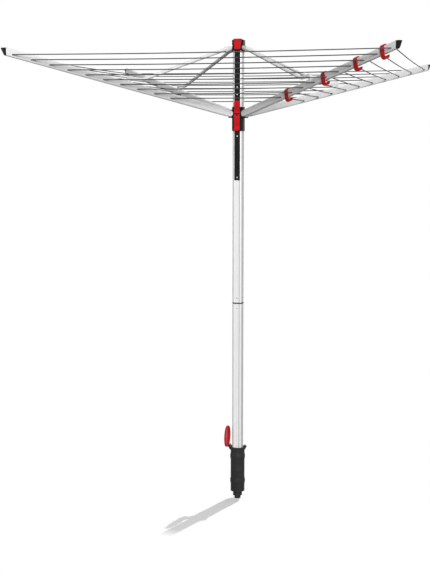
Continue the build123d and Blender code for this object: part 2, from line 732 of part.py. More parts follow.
def clothesline():
    points, bends = line_route()
    path = FilletPolyline(*points, radius=bends)
    section = Plane(origin=path @ 0, z_dir=path % 0) * RegularPolygon(LINE_D / 2, LINE_SIDES)
    line = sweep(section, path=path)
    share = line.volume / (section.area * path.length)
    print("line length", round(path.length), "volume over section times length", round(share, 4))
    print("least gap of the line to itself", round(least_line_gap(path), 2))
    return line


def least_line_gap(path):
    """Least gap of the line to itself, on points along it that are far apart by its length."""
    spacing, apart, reach = 2.0, 25.0, 12.0
    cells, least, run = {}, reach, 0.0
    for edge in path.edges():
        count = max(2, math.ceil(edge.length / spacing))
        for number in range(count):
            point = edge @ (number / count)
            place = run + edge.length * number / count
            cell = tuple(int(value // reach) for value in point)
            around = itertools.product(*[(value - 1, value, value + 1) for value in cell])
            for other, place_there in itertools.chain.from_iterable(cells.get(key, ()) for key in around):
                if place - place_there > apart:
                    least = min(least, (point - other).length)
            cells.setdefault(cell, []).append((point, place))
        run += edge.length
    return least - LINE_D


def line_stops():
    """Crimped ferrules on the two ends of the line, inside the step arm."""
    stops = []
    for loop, side in ((0, 1), (LINE_COUNT - 1, -1)):
        radius, height = arm_point(line_out(loop), -LINE_DROP)
        across = side * (LINE_END + STOP_H / 2)
        stop = rod_y(STOP_R, STOP_H, radius, across, height)
        stop -= rod_y(LINE_D / 2 + FIT, STOP_H, radius, across, height)
        stops.append(at_arm(STEP_ARM, stop))
    return stops


# Hanger hooks
def hook_outline(half_width, top, low_middle, corner):
    """Upright loop outline: straight sides, a round bottom and two rounded top corners."""
    face = Pos(0, (top + low_middle) / 2) * Rectangle(2 * half_width, top - low_middle)
    face = fillet(face.vertices().group_by(Axis.Y)[-1], corner)
    return face + Pos(0, low_middle) * Circle(half_width)


def hook_out(place):
    """Where a hook sits along the arm, counted in loops of the line, clear of the strut's saddle."""
    middle = line_out(place)
    saddle, _ = joint_place()
    clear = (SADDLE_L + HOOK_W) / 2 + HOOK_CLEAR
    if middle > saddle:
        return max(middle, saddle + clear)
    return min(middle, saddle - clear)


def hanger_hook(place):
    """Clip over the arm's top edge that runs down the front side and turns up under the arm."""
    half_in = ARM_W / 2 + RUN
    top = ARM_H / 2 + RUN
    low = -ARM_H / 2 - HOOK_DROP
    outer = hook_outline(half_in + HOOK_T, top + HOOK_T, low + half_in + HOOK_T, ARM_CORNER + RUN + HOOK_T)
    inner = hook_outline(half_in, top, low + HOOK_T + half_in, ARM_CORNER + RUN)
    tip = low + half_in + HOOK_T + HOOK_TIP
    mouth_top = ARM_H / 2 - HOOK_GRIP
    mouth = Pos(half_in + HOOK_T, (tip + mouth_top) / 2) * Rectangle(2 * half_in, mouth_top - tip)
    band = extrude(Plane.YZ * (outer - inner - mouth), amount=HOOK_W / 2, both=True)
    return at_arm(HOOK_ARM, ALONG_ARM * Pos(hook_out(place), 0, 0) * band)


# Slide hub
def slide_hub():
    hub = rounded_prism(HUB_SIZE, HUB_CORNER, HUB_BOTTOM, HUB_TOP)
    slot_half = LATCH_W / 2 + RUN
    cheek = slot_half + CHEEK_T
    housing = block((-cheek, cheek), (-CHEEK_REACH, 0), (HUB_BOTTOM, HUB_TOP))
    front_edges = housing.edges().filter_by(Axis.Z).group_by(Axis.Y)[0]
    hub += fillet(front_edges, CHEEK_T / 2)
    arm_slot = ARM_W / 2 + SLIDE
    hub -= at_each_arm(
        block((HUB_SLOT_R, 2 * HUB_LIP_R), (-arm_slot, arm_slot), (HUB_SHELF_Z, HUB_TOP))
    )
    tongue_half = ARM_BORE_W / 2 - RUN
    low, high = HUB_PIN_Z - HUB_TONGUE_H / 2, HUB_PIN_Z + HUB_TONGUE_H / 2
    tongue = block((MAST_HALF, PIN_R), (-tongue_half, tongue_half), (low, high))
    tongue += rod_y(HUB_TONGUE_R, 2 * tongue_half, PIN_R, 0, HUB_PIN_Z)
    tongue -= rod_y(ARM_PIN_R + FIT, 2 * tongue_half, PIN_R, 0, HUB_PIN_Z)
    lip = block((MAST_HALF, HUB_LIP_R), (-tongue_half, tongue_half), (HUB_SHELF_Z - HUB_LIP_H, HUB_SHELF_Z))
    outer_edge = lip.faces().sort_by(Axis.X)[-1].edges().filter_by(Axis.Y).sort_by(Axis.Z)[0]
    hub += at_each_arm(tongue + chamfer(outer_edge, HUB_LIP_CHAMFER))
    hub -= rounded_prism(MAST_SIZE + 2 * SLIDE, MAST_CORNER + SLIDE, HUB_BOTTOM, HUB_TOP)
    hub -= block((-slot_half, slot_half), (-2 * CHEEK_REACH, -MAST_FLOOR), (HUB_BOTTOM, HUB_TOP))
    hub -= rod_x(COVER_STUD_R + FIT, 2 * cheek, 0, -LEVER_PIN_Y, COVER_STUD_Z)
    hub -= rod_x(LEVER_PIN_R + FIT, 2 * cheek, 0, -LEVER_PIN_Y, LEVER_PIN_Z)
    return hub


def arm_hinge_pins():
    return at_each_arm(rod_y(ARM_PIN_R, ARM_W + 2 * RUN, PIN_R, 0, HUB_PIN_Z))


def latch_back():
    return RACK_FRONT + SLIDE


def latch_cover():
    """Red cover above the lever, held by a stud in each cheek of the hub."""
    back = latch_back()
    slope = (COVER_FRONT - back) / 2
    with BuildSketch(Plane.YZ) as side:
        with BuildLine():
            Polyline(
                (-back, COVER_BOTTOM),
                (-COVER_FRONT, COVER_BOTTOM),
                (-COVER_FRONT, COVER_TOP - COVER_SLOPE_H),
                (-COVER_FRONT + slope, COVER_TOP),
                (-back, COVER_TOP),
                close=True,
            )
        make_face()
    cover = extrude(side.sketch, amount=LATCH_W / 2, both=True)
    side_edges = cover.faces().sort_by(Axis.Y)[0].edges().filter_by(Axis.Z)
    cover = fillet(side_edges, slope / 2)
    return cover + rod_x(COVER_STUD_R, LATCH_W + 2 * CHEEK_T, 0, -LEVER_PIN_Y, COVER_STUD_Z)


def lever_pin():
    return rod_x(LEVER_PIN_R, LATCH_W + 2 * CHEEK_T, 0, -LEVER_PIN_Y, LEVER_PIN_Z)


def release_lever():
    """Flat lever hung from its pin, with a scoop and a lip for the finger at its lower end."""
    front, back = -LEVER_PIN_Y - LEVER_HALF_T, -LEVER_PIN_Y + LEVER_HALF_T
    bottom = HUB_BOTTOM
    lip = front - LEVER_LIP
    with BuildSketch(Plane.YZ) as side:
        with BuildLine():
            ThreePointArc(
                (back, LEVER_PIN_Z), (-LEVER_PIN_Y, LEVER_PIN_Z + LEVER_HALF_T), (front, LEVER_PIN_Z)
            )
            Line((front, LEVER_PIN_Z), (front, LEVER_SCOOP_TOP))
            ThreePointArc(
                (front, LEVER_SCOOP_TOP), (front + LEVER_SCOOP_D, LEVER_SCOOP_Z), (lip, bottom + LEVER_LIP_H)
            )
            ThreePointArc(
                (lip, bottom + LEVER_LIP_H),
                (lip + LEVER_LIP_ROUND, bottom + 2 * LEVER_LIP_ROUND),
                (front, bottom),
            )
            Line((front, bottom), (back, bottom))
            Line((back, bottom), (back, LEVER_PIN_Z))
        make_face()
    lever = extrude(side.sketch, amount=LATCH_W / 2, both=True)
    lever -= rod_x(LEVER_PIN_R + FIT, 2 * LATCH_W, 0, -LEVER_PIN_Y, LEVER_PIN_Z)
    room = SPRING_W / 2 + RUN
    lever -= block(
        (-room, room),
        (front - RUN, back + RUN),
        (LEVER_PIN_Z - LEVER_HALF_T, LEVER_PIN_Z + LEVER_HALF_T),
    )
    return lever - pawl_block(FIT)


def pawl_block(room):
    """Steel tooth set in the back of the lever, just short of the rack."""
    tip = RACK_FRONT + RUN
    root = LEVER_PIN_Y - LEVER_HALF_T + PAWL_L
    return block(
        (-PAWL_W / 2 - room, PAWL_W / 2 + room),
        (-root - room, -tip + room),
        (PAWL_Z - PAWL_H / 2 - room, PAWL_Z + PAWL_H / 2 + room),
    )


def latch_spring():
    """Torsion spring about the lever's pin, with one leg up behind the cover."""
    inner = LEVER_PIN_R + FIT
    coil = rod_x(inner + SPRING_WIRE, SPRING_W, 0, -LEVER_PIN_Y, LEVER_PIN_Z)
    coil -= rod_x(inner, SPRING_W, 0, -LEVER_PIN_Y, LEVER_PIN_Z)
    leg_y = -LEVER_PIN_Y + inner + SPRING_WIRE / 2
    leg = Pos(0, leg_y, 0) * rod_z(SPRING_WIRE / 2, LEVER_PIN_Z, COVER_BOTTOM - FIT)
    return coil + leg


NODES = {
    "ground_socket": ground_socket(),
    "socket_bush": socket_bush(),
    "lid_hinge_pin": lid_hinge_pin(),
    "socket_lid": socket_lid(),
    "mast_foot_plug": mast_foot_plug(),
    "lower_mast_tube": lower_mast_tube(),
    "upper_mast_tube": upper_mast_tube(),
    "mast_joint_sleeve": mast_joint_sleeve(),
    "mast_joint_ring": mast_joint_ring(),
    "joint_rivets": joint_rivets(),
    "height_rack": height_rack(),
    "rack_screws": rack_screws(),
    "top_hub": top_hub(),
    "top_cover_plate": top_cover_plate(),
    "strut_top_pins": strut_top_pins(),
    "slide_hub": slide_hub(),
    "arm_hinge_pins": arm_hinge_pins(),
    "latch_cover": latch_cover(),
    "lever_pin": lever_pin(),
    "release_lever": release_lever(),
    "latch_pawl": pawl_block(0),
    "latch_spring": latch_spring(),
    "clothesline": clothesline(),
    "line_stops": line_stops(),
}
PER_ARM = {
    "strut": [strut()],
    "arm": [arm()],
    "arm_end_cap": [arm_end_cap()],
    "strut_bracket": [strut_bracket()],
    "strut_bracket_pins": strut_bracket_pins(),
}
for name, shapes in PER_ARM.items():
    for number in range(1, ARM_COUNT + 1):
        NODES[f"{name}_{number}"] = [at_arm(number, shape) for shape in shapes]
for number, place in enumerate(HOOK_PLACES, start=1):
    NODES[f"hanger_hook_{number}"] = hanger_hook(place)

os.makedirs("parts", exist_ok=True)
for name, shape in NODES.items():
    pieces = shape if isinstance(shape, list) else [shape]
    solids = [solid for piece in pieces for solid in piece.solids()]
    export_step(Compound(children=solids), f"parts/{name}.step")
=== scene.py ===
import json
import math

import bmesh
import bpy
from mathutils import Matrix, Vector


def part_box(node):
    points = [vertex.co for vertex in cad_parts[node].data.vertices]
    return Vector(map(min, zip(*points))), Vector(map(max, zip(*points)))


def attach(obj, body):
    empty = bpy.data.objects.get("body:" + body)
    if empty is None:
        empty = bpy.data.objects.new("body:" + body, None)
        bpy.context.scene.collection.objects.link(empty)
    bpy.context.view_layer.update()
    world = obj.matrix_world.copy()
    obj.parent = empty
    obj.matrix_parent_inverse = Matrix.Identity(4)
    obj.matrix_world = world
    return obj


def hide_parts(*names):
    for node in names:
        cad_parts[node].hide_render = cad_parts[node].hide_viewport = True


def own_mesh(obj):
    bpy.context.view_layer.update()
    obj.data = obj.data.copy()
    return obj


# Looks of the rotary clothesline, in metres. The arms are counted from the back right, as in the frame.

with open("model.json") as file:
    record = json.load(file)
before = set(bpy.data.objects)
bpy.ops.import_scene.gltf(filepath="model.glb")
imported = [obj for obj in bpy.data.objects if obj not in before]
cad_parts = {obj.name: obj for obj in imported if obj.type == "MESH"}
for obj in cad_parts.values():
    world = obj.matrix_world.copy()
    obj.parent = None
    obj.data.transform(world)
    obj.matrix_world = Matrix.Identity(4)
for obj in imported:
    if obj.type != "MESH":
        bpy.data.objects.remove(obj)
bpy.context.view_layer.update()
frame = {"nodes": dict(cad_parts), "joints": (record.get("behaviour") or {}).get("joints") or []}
NODES = frame["nodes"]
JOINTS = {joint["name"]: joint for joint in frame["joints"]}
UP = Vector((0.0, 0.0, 1.0))

# Camera, as the photograph was taken
CAMERA_PLACE = (1.1835, -5.1716, 1.6618)
CAMERA_LOOK = (-0.2402, 0.9624, -0.1268)
CAMERA_LENS = 74.33
CAMERA_SENSOR = 36.0

# Linkage: the pins and the fold from the frame, then how the arms and the long run of a strut lie
HUB_PIN = JOINTS["hub_travel"]["pos_m"]
TOP_PIN = JOINTS["fold"]["pos_m"]
PIN_R = round(math.hypot(HUB_PIN[0], HUB_PIN[1]), 4)
HUB_PIN_Z = HUB_PIN[2]
STRUT_PIN_Z = TOP_PIN[2]
FOLD = math.radians(JOINTS["fold"]["range_deg"][1])
ARM_NUMBERS = (1, 2, 3, 4)
FIRST_AZIMUTH = 45.0
ARM_STEP = 90.0
ARM_RISE = math.radians(12.6)
STRUT_RUN = 0.945
STRUT_FALL = 0.327
STRUT_R = 0.0075

# Line: ten loops, as thick as they look, with the groups of loops that make one piece
LINE_COUNT = 10
LINE_OUTER_R = 1.0596
LINE_INNER_R = 0.348
LINE_PITCH = (LINE_OUTER_R - LINE_INNER_R) / (LINE_COUNT - 1)
LINE_DROP = 0.006
LINE_D = 0.0043
LINE_REACH = 0.0124
LINE_SIDES = 10
LINE_STEPS = 8
LINE_GROUPS = ((0, 1, 2), (3, 4, 5), (6, 7), (8, 9))

# Sag of a half span per metre of radius, and its last points: share of the way, share of the sag
LINE_SAG = 0.0042
SAG_POINTS = ((0.4, 0.6), (0.75, 1.0), (1.0, 1.0))

# Coat of the line: the lay and the strands of its core, and its darkest and palest grey
LINE_LAY = 0.011
LINE_STRANDS = 3.0
LINE_DARK = 0.065
LINE_PALE = 0.125

# Places of the fasteners
MAST_FLOOR = 0.0214
SEAM_Z = sum(corner.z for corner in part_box("mast_joint_ring")) / 2
RIVET_OFFSET = 0.023
RACK_FRONT = -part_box("height_rack")[0].y
RACK_SCREW_HEIGHTS = (1.4755, 1.6581, 1.8407, 1.8719)
SCREW_TURN = math.pi / 7
TO_FRONT = math.pi / 2

# Flat screw with a cross recess
SCREW_HEAD_R = 0.0033
SCREW_HEAD_H = 0.0017
SCREW_EDGE = 0.0004
SCREW_SHANK_R = 0.0017
SCREW_LENGTH = 0.0068
CROSS_LENGTH = 0.0036
CROSS_WIDTH = 0.0008
CROSS_DEPTH = 0.0009

# Blind rivet: the dome is given by radius and height
RIVET_HEAD_R = 0.0036
RIVET_DOME = ((0.0010, 0.0012), (0.0019, 0.00118), (0.0028, 0.0009), (0.0034, 0.00045))
RIVET_DIMPLE_R = 0.0009
RIVET_DIMPLE_Z = 0.0006
RIVET_SHANK_R = 0.0020
RIVET_LENGTH = 0.0042
TURNED_STEPS = 24
MERGE_WITHIN = 1e-6

# Aluminium: how light it is, how much it mirrors, and how far its pattern is drawn out lengthwise
MAST_LEVEL = 0.845
MAST_METAL = 0.15
ARM_LEVEL = 0.82
ARM_METAL = 0.06
STRUT_LEVEL = 0.82
STRUT_METAL = 0.05
DRAWN_OUT = 0.985

# Painted shade on the underside of each strut, less of it on the third
STRUT_PAINTED_SHADES = (0.62, 0.62, 0.28, 0.62)

# Painted shade on the mast: a painted shadow beside the right wall of its front channel, and painted shade
# on its sides
CHANNEL_SHADOW_X = 0.0105
CHANNEL_SHADOW_HALF = 0.0030
CHANNEL_SHADOW_CORE = 0.001125
CHANNEL_SHADOW_STRENGTH = 0.45
FRONT_FROM = -0.015
FRONT_FULL = -0.016
SIDE_FROM = 0.0190
SIDE_FULL = 0.0212
SIDE_SHADE = 0.36

# Steel and plastics: how light they are, and how much the black ones mirror
BRIGHT_STEEL_LEVEL = 0.72
SCREW_STEEL_LEVEL = 0.42
DARK_STEEL_LEVEL = 0.04
BLACK_LEVEL = 0.013
BLACK_GLOSS = 0.07
SOCKET_LEVEL = 0.036
SOCKET_GLOSS = 0.05
RED_LEVEL = 0.65
# The same red plastic, darker on the socket lid and top cover plate and darker still on the hooks: painted
# shade
COVER_RED_SHADED_LEVEL = 0.56
HOOK_RED_SHADED_LEVEL = 0.46

# Darkest and palest share of a finish's level, and the tints that go with them
ALUMINIUM_SPREAD = (0.93, 1.06)
BLACK_SPREAD = (0.62, 1.38)
RED_SPREAD = (0.93, 1.07)
RED_TINTS = ((1.0, 0.018, 0.025), (1.0, 0.021, 0.028))
STEEL_SPREAD = (0.86, 1.14)
STEEL_TINTS = ((1.0, 1.01, 1.03), (1.0, 1.01, 1.02))

# Studio floor: its grey to the eye and to bounced light, and the round field that keeps the shadow
SEEN_RAYS = ("Camera", "Glossy", "Transmission")
FLOOR_HALF = 40.0
FLOOR_LEVEL = 0.96
FLOOR_BOUNCE = 0.05
FLOOR_FILL = 0.03
SHADOW_MIDDLE = (-0.085, -0.27, 0.0)
SHADOW_NEAR = 0.245
SHADOW_FAR = 0.335

# Studio light: the room, and each lamp's place, target, width and power
ROOM_LIGHT = 0.3
LAMPS = {
    "front_right": ((3.42, -9.4, 4.2), (0.0, 0.0, 1.4), 3.0, 925.0),
    "back_right": ((1.656, 5.416, 4.11), (0.0, 0.0, 0.2), 0.14, 378.0),
}


class Value:
    """An output of a shader tree. Maths on it adds Math nodes."""

    def __init__(self, finish, socket):
        self.finish = finish
        self.socket = socket

    def maths(self, operation, *values):
        return self.finish.node("ShaderNodeMath", {"operation": operation}, dict(enumerate(values)))

    def __add__(self, other):
        return self.maths("ADD", self, other)

    def __radd__(self, other):
        return self.maths("ADD", other, self)

    def __sub__(self, other):
        return self.maths("SUBTRACT", self, other)

    def __rsub__(self, other):
        return self.maths("SUBTRACT", other, self)

    def __mul__(self, other):
        return self.maths("MULTIPLY", self, other)

    def __rmul__(self, other):
        return self.maths("MULTIPLY", other, self)

    def size(self):
        return self.maths("ABSOLUTE", self)

    def wave(self):
        return self.maths("SINE", self)

    def clamped(self):
        return self.maths("MINIMUM", self.maths("MAXIMUM", self, 0.0), 1.0)

    def rise(self, start, full):
        """0 at start, 1 at full and even in between, whichever of the two is larger."""
        return ((self - start) * (1.0 / (full - start))).clamped()


class Finish:
    """A material or the world, as a tree of nodes."""

    def __init__(self, owner):
        self.owner = owner
        owner.use_nodes = True
        self.tree = owner.node_tree
        self.tree.nodes.clear()

    def node(self, kind, settings=None, inputs=None, output=0):
        """Add one node: its settings first, then the values or links of its sockets."""
        made = self.tree.nodes.new(kind)
        for name, value in (settings or {}).items():
            if name == "stops":
                for stop, (place, colour) in zip(ramp_stops(made, len(value)), value):
                    stop.position = place
                    stop.color = colour
            else:
                setattr(made, name, value)
        for key, value in (inputs or {}).items():
            if isinstance(value, Value):
                self.tree.links.new(value.socket, made.inputs[key])
            else:
                made.inputs[key].default_value = value
        return Value(self, made.outputs[output]) if made.outputs else None

    def seen(self):
        """1 for what is looked at, straight, mirrored or through glass, and 0 for light that bounces."""
        path = [self.node("ShaderNodeLightPath", output=f"Is {ray} Ray") for ray in SEEN_RAYS]
        return sum(path).clamped()

    def coordinates(self):
        return self.node("ShaderNodeTexCoord", output="Object")

    def attribute(self, name):
        return self.node("ShaderNodeAttribute", {"attribute_name": name}, output="Fac")

    def noise(self, vector, scale, detail=2.0, rough=0.5):
        return self.node(
            "ShaderNodeTexNoise",
            inputs={"Vector": vector, "Scale": scale, "Detail": detail, "Roughness": rough},
        )

    def mottle(self, vector, scale):
        """Small cells, each with its own brightness."""
        cells = self.node("ShaderNodeTexVoronoi", inputs={"Vector": vector, "Scale": scale}, output="Color")
        return self.node("ShaderNodeRGBToBW", inputs={"Color": cells})

    def ramp(self, factor, *stops):
        return self.node("ShaderNodeValToRGB", {"stops": stops}, {"Fac": factor})

    def mixed(self, factor, first, second):
        """Colour that goes from the first to the second."""
        return self.node("ShaderNodeMix", {"data_type": "RGBA"}, {0: factor, 6: first, 7: second}, output=2)

    def axis(self, vector, name):
        return self.node("ShaderNodeSeparateXYZ", inputs={"Vector": vector}, output=name)

    def vector(self, operation, *values, output=0):
        return self.node("ShaderNodeVectorMath", {"operation": operation}, dict(enumerate(values)), output)

    def scaled(self, vector, factor):
        return self.node("ShaderNodeVectorMath", {"operation": "SCALE"}, {0: vector, "Scale": factor})

    def bump(self, height, strength, distance, normal=None):
        inputs = {"Height": height, "Strength": strength, "Distance": distance}
        if normal is not None:
            inputs["Normal"] = normal
        return self.node("ShaderNodeBump", inputs=inputs)

    def rounded(self, radius):
        """Normal of edges that look rounded by that radius."""
        return self.node("ShaderNodeBevel", {"samples": 4}, {"Radius": radius})

    def white(self, kind, strength):
        """White light of that strength, from a surface or from the world."""
        return self.node(kind, inputs={"Color": grey(1.0), "Strength": strength})

    def either(self, factor, first, second):
        """Shader that goes from the first to the second."""
        return self.node("ShaderNodeMixShader", inputs={0: factor, 1: first, 2: second})

    def surface(self, **inputs):
        """Finish the tree with the main shader and the output."""
        sockets = {key.replace("_", " "): value for key, value in inputs.items()}
        shader = self.node("ShaderNodeBsdfPrincipled", inputs=sockets)
        self.node("ShaderNodeOutputMaterial", inputs={"Surface": shader})
        return self.owner


def ramp_stops(node, count):
    elements = node.color_ramp.elements
    while len(elements) < count:
        elements.new(0.5)
    return list(elements)


def new_finish(name):
    return Finish(bpy.data.materials.new(name))


def grey(level):
    return (level, level, level, 1.0)


def tinted(level, tint):
    return (*(level * share for share in tint), 1.0)


# Directions at each arm
def azimuth(number):
    return math.radians(FIRST_AZIMUTH + ARM_STEP * (number - 1))


def outward(number):
    return Vector((math.cos(azimuth(number)), math.sin(azimuth(number)), 0.0))


def sideways(number):
    return Vector((-math.sin(azimuth(number)), math.cos(azimuth(number)), 0.0))


def arm_axis(number):
    return outward(number) * math.cos(ARM_RISE) + UP * math.sin(ARM_RISE)


def strut_axis(number):
    return outward(number) * STRUT_RUN - UP * STRUT_FALL


# Finishes
def anodised_aluminium(name, along, level, metal, painted_shade=None):
    """Satin extrusion with fine draw lines along it, a faint cloudiness and painted shade where a mask of
    it is given.
    """
    finish = new_finish(name)
    place = finish.coordinates()
    run = finish.vector("DOT_PRODUCT", place, along, output="Value")
    drawn_place_and_channel_shadow = finish.vector("SUBTRACT", place, finish.scaled(along, run * DRAWN_OUT))
    lines = finish.noise(drawn_place_and_channel_shadow, scale=1400.0, detail=3.0, rough=0.6)
    bands = finish.noise(drawn_place_and_channel_shadow, scale=260.0)
    clouds = finish.noise(place, scale=9.0, detail=3.0)
    tone = (0.55 * lines + 0.25 * bands + 0.2 * clouds).clamped()
    dull, bright = (grey(level * share) for share in ALUMINIUM_SPREAD)
    colour = finish.ramp(tone, (0.3, dull), (0.7, bright))
    # Painted shade darkens the colour towards black
    if painted_shade is not None:
        colour = finish.mixed(painted_shade(finish, place), colour, grey(0.0))
    return finish.surface(
        Base_Color=colour,
        Metallic=metal,
        Specular_IOR_Level=0.3,
        Roughness=0.34 + 0.16 * tone,
        Normal=finish.bump(lines, strength=0.12, distance=0.0002),
    )


def mast_painted_shade(finish, place):
    """How much painted shade darkens the mast: a painted shadow beside the front channel's right wall, and
    painted shade on the sides all over.
    """
    across, depth = finish.axis(place, "X"), finish.axis(place, "Y")
    beside = (across - CHANNEL_SHADOW_X).size()
    # Painted shadow on the front face only, and painted shade on both sides
    drawn_place_and_channel_shadow = beside.rise(CHANNEL_SHADOW_HALF, CHANNEL_SHADOW_CORE) * depth.rise(FRONT_FROM, FRONT_FULL)
    sides = across.size().rise(SIDE_FROM, SIDE_FULL)
    return CHANNEL_SHADOW_STRENGTH * drawn_place_and_channel_shadow + SIDE_SHADE * sides


def strut_painted_shade(number):
    """How much painted shade darkens a strut, from a third of its radius above its middle down to its
    underside.
    """
    pin = outward(number) * PIN_R + UP * STRUT_PIN_Z
    upward = outward(number) * STRUT_FALL + UP * STRUT_RUN

    def painted_shade(finish, place):
        above = finish.vector("DOT_PRODUCT", place, tuple(upward), output="Value") - pin.dot(upward)
        # Painted shade, darkest on the underside
        return STRUT_PAINTED_SHADES[number - 1] * above.rise(STRUT_R / 3, -STRUT_R)

    return painted_shade


def moulded_black(name, level, gloss):
    """Satin black plastic with a fine moulded grain and slightly dusty patches."""
    finish = new_finish(name)
    place = finish.coordinates()
    grain = finish.noise(place, scale=1700.0, rough=0.6)
    clouds = finish.noise(place, scale=24.0, detail=4.0, rough=0.6)
    scuffs = finish.noise(place, scale=140.0, detail=5.0, rough=0.7)
    tone = (0.6 * clouds + 0.4 * scuffs).clamped()
    deep, dusty = (grey(level * share) for share in BLACK_SPREAD)
    return finish.surface(
        Base_Color=finish.ramp(tone, (0.3, deep), (0.75, dusty)),
        Specular_IOR_Level=gloss,
        Roughness=0.36 + 0.2 * tone,
        Normal=finish.bump(grain, strength=0.25, distance=0.0003, normal=finish.rounded(0.0006)),
    )


def gloss_red(name, level):
    """Glossy red plastic with a soft flow in its colour and a faint ripple."""
    finish = new_finish(name)
    place = finish.coordinates()
    flow = finish.noise(place, scale=30.0, detail=3.0)
    ripple = finish.noise(place, scale=420.0)
    fine = finish.noise(place, scale=1500.0)
    deep, bright = (tinted(level * share, tint) for share, tint in zip(RED_SPREAD, RED_TINTS))
    return finish.surface(
        Base_Color=finish.ramp(flow, (0.3, deep), (0.7, bright)),
        Specular_IOR_Level=0.1,
        Roughness=0.26 + 0.14 * fine,
        Normal=finish.bump(ripple, strength=0.06, distance=0.0006, normal=finish.rounded(0.0007)),
    )


def coated_line():
    """Dark coated line, whose twisted core shows as a low spiral under the coat."""
    finish = new_finish("coated_line")
    along, around = finish.attribute("along"), finish.attribute("around")
    turns = (along * (1.0 / LINE_LAY) + around * LINE_STRANDS) * (2.0 * math.pi)
    twist = 0.5 + 0.5 * turns.wave()
    dust = finish.noise(finish.coordinates(), scale=60.0, detail=3.0)
    tone = (0.45 * twist + 0.55 * dust).clamped()
    return finish.surface(
        Base_Color=finish.ramp(tone, (0.25, grey(LINE_DARK)), (0.75, grey(LINE_PALE))),
        Specular_IOR_Level=0.04,
        Roughness=0.6 + 0.15 * dust,
        Normal=finish.bump(twist, strength=0.2, distance=0.0003),
    )


def plated_steel(name, level):
    """Plated steel with a faint mottle."""
    finish = new_finish(name)
    place = finish.coordinates()
    fine = finish.noise(place, scale=2200.0)
    tone = (0.5 * finish.mottle(place, scale=900.0) + 0.5 * fine).clamped()
    dull, bright = (tinted(level * share, tint) for share, tint in zip(STEEL_SPREAD, STEEL_TINTS))
    return finish.surface(
        Base_Color=finish.ramp(tone, (0.2, dull), (0.8, bright)),
        Metallic=0.85,
        Roughness=0.24 + 0.16 * tone,
        Normal=finish.bump(fine, strength=0.08, distance=0.0002),
    )


# Objects and meshes
def in_scene(name, data):
    """A new object of that data, in the scene."""
    made = bpy.data.objects.new(name, data)
    bpy.context.scene.collection.objects.link(made)
    return made


def mesh_data(name, shape):
    """The mesh of a bmesh, which is freed."""
    data = bpy.data.meshes.new(name)
    shape.to_mesh(data)
    shape.free()
    return data


def modified_mesh(made):
    """The plain mesh that an object's modifiers give."""
    bpy.context.view_layer.update()
    graph = bpy.context.evaluated_depsgraph_get()
    return bpy.data.meshes.new_from_object(made.evaluated_get(graph), depsgraph=graph)


# Geometry Nodes
def node_tree(name, inputs):
    """A new tree with a geometry in and out and the named inputs; gives the tree and a maker of nodes."""
    tree = bpy.data.node_groups.new(name, "GeometryNodeTree")
    tree.interface.new_socket("Geometry", in_out="INPUT", socket_type="NodeSocketGeometry")
    for label, kind in inputs.items():
        tree.interface.new_socket(label, in_out="INPUT", socket_type=kind)
    tree.interface.new_socket("Geometry", in_out="OUTPUT", socket_type="NodeSocketGeometry")

    def add(kind, links=None, settings=None):
        made = tree.nodes.new(kind)
        for key, value in (settings or {}).items():
            setattr(made, key, value)
        for key, value in (links or {}).items():
            if isinstance(value, bpy.types.NodeSocket):
                tree.links.new(value, made.inputs[key])
            else:
                made.inputs[key].default_value = value
        return made.outputs

    return tree, add


def marked(add, shape, name, value):
    """Keep a number on each point of a shape, for its finish to read."""
    made = add(
        "GeometryNodeStoreNamedAttribute",
        {"Geometry": shape, "Name": name, "Value": value},
        {"data_type": "FLOAT", "domain": "POINT"},
    )
    return made["Geometry"]


def end_tree(add, shape, finish):
    """End a tree with its real geometry, in its finish."""
    real = add("GeometryNodeRealizeInstances", {"Geometry": shape})
    dressed = add("GeometryNodeSetMaterial", {"Geometry": real["Geometry"], "Material": finish})
    add("NodeGroupOutput", {"Geometry": dressed["Geometry"]})


def line_tree():
    """Tube of the line along each curve, with the way along and around it kept for the finish."""
    tree, add = node_tree(
        "line_tube",
        {"Diameter": "NodeSocketFloat", "Sides": "NodeSocketInt", "Finish": "NodeSocketMaterial"},
    )
    given = add("NodeGroupInput")
    way = add("GeometryNodeSplineParameter")
    route = marked(add, given["Geometry"], "along", way["Length"])
    radius = add("ShaderNodeMath", {0: given["Diameter"], 1: 0.5}, {"operation": "MULTIPLY"})
    circle = add("GeometryNodeCurvePrimitiveCircle", {"Resolution": given["Sides"], "Radius": radius[0]})
    turn = add("GeometryNodeSplineParameter")
    ring = marked(add, circle["Curve"], "around", turn["Factor"])
    tube = add("GeometryNodeCurveToMesh", {"Curve": route, "Profile Curve": ring, "Fill Caps": True})
    smooth = add("GeometryNodeSetShadeSmooth", {"Geometry": tube["Mesh"]})
    end_tree(add, smooth["Geometry"], given["Finish"])
    return tree


def fastener_tree():
    """One fastener at each point, turned as the point says."""
    tree, add = node_tree(
        "fastener_row",
        {"Fastener": "NodeSocketObject", "Finish": "NodeSocketMaterial"},
    )
    given = add("NodeGroupInput")
    shape = add("GeometryNodeObjectInfo", {"Object": given["Fastener"]})
    turn = add("GeometryNodeInputNamedAttribute", {"Name": "turn"}, {"data_type": "FLOAT_VECTOR"})
    placed = add(
        "GeometryNodeInstanceOnPoints",
        {"Points": given["Geometry"], "Instance": shape["Geometry"], "Rotation": turn["Attribute"]},
    )
    end_tree(add, placed["Instances"], given["Finish"])
    return tree


def grown(name, data, tree, values):
    """Run a tree on a base, and keep the result as a plain mesh piece at the origin."""
    base = in_scene(name + "_base", data)
    modifier = base.modifiers.new("grow", "NODES")
    modifier.node_group = tree
    for item in tree.interface.items_tree:
        if item.in_out == "INPUT" and item.name in values:
            modifier[item.identifier] = values[item.name]
    mesh = modified_mesh(base)
    base.modifiers.remove(modifier)
    bpy.data.objects.remove(base)
    return in_scene(name, mesh)


# The line, as half spans that stay on their arm
def line_radius(loop):
    return LINE_OUTER_R - loop * LINE_PITCH


